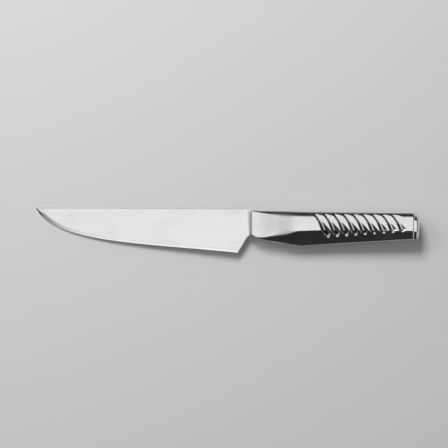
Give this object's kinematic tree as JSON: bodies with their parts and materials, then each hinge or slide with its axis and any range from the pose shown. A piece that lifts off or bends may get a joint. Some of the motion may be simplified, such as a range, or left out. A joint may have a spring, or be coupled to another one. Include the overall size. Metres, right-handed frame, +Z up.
{
  "type": "meat knife",
  "caption": "All-steel kitchen meat knife with a straight-backed triangular blade and a hollow welded handle that has slanting grip flutes and a domed butt cap.",
  "frame": {"origin": "bottom centre of the box round the knife as it lies on its right side, touching down near the tip and on the swell of the handle", "axes": "+X from the tip to the butt, +Y from the cutting edge to the spine, +Z up, out of the blade's left face"},
  "size_m": [0.3048, 0.0354, 0.0204],
  "materials": {
    "ground_blade_steel": "fine ground satin",
    "satin_handle_steel": "lengthwise satin",
    "ground_weld_steel": "ground flush",
    "satin_cap_steel": "turned satin"
  },
  "bodies": {
    "root": {"blade": "ground_blade_steel", "left_handle_shell": "satin_handle_steel", "right_handle_shell": "satin_handle_steel", "left_neck_weld": "ground_weld_steel", "right_neck_weld": "ground_weld_steel", "spine_weld": "ground_weld_steel", "belly_weld": "ground_weld_steel", "butt_cap": "satin_cap_steel"}
  },
  "joints": []
}
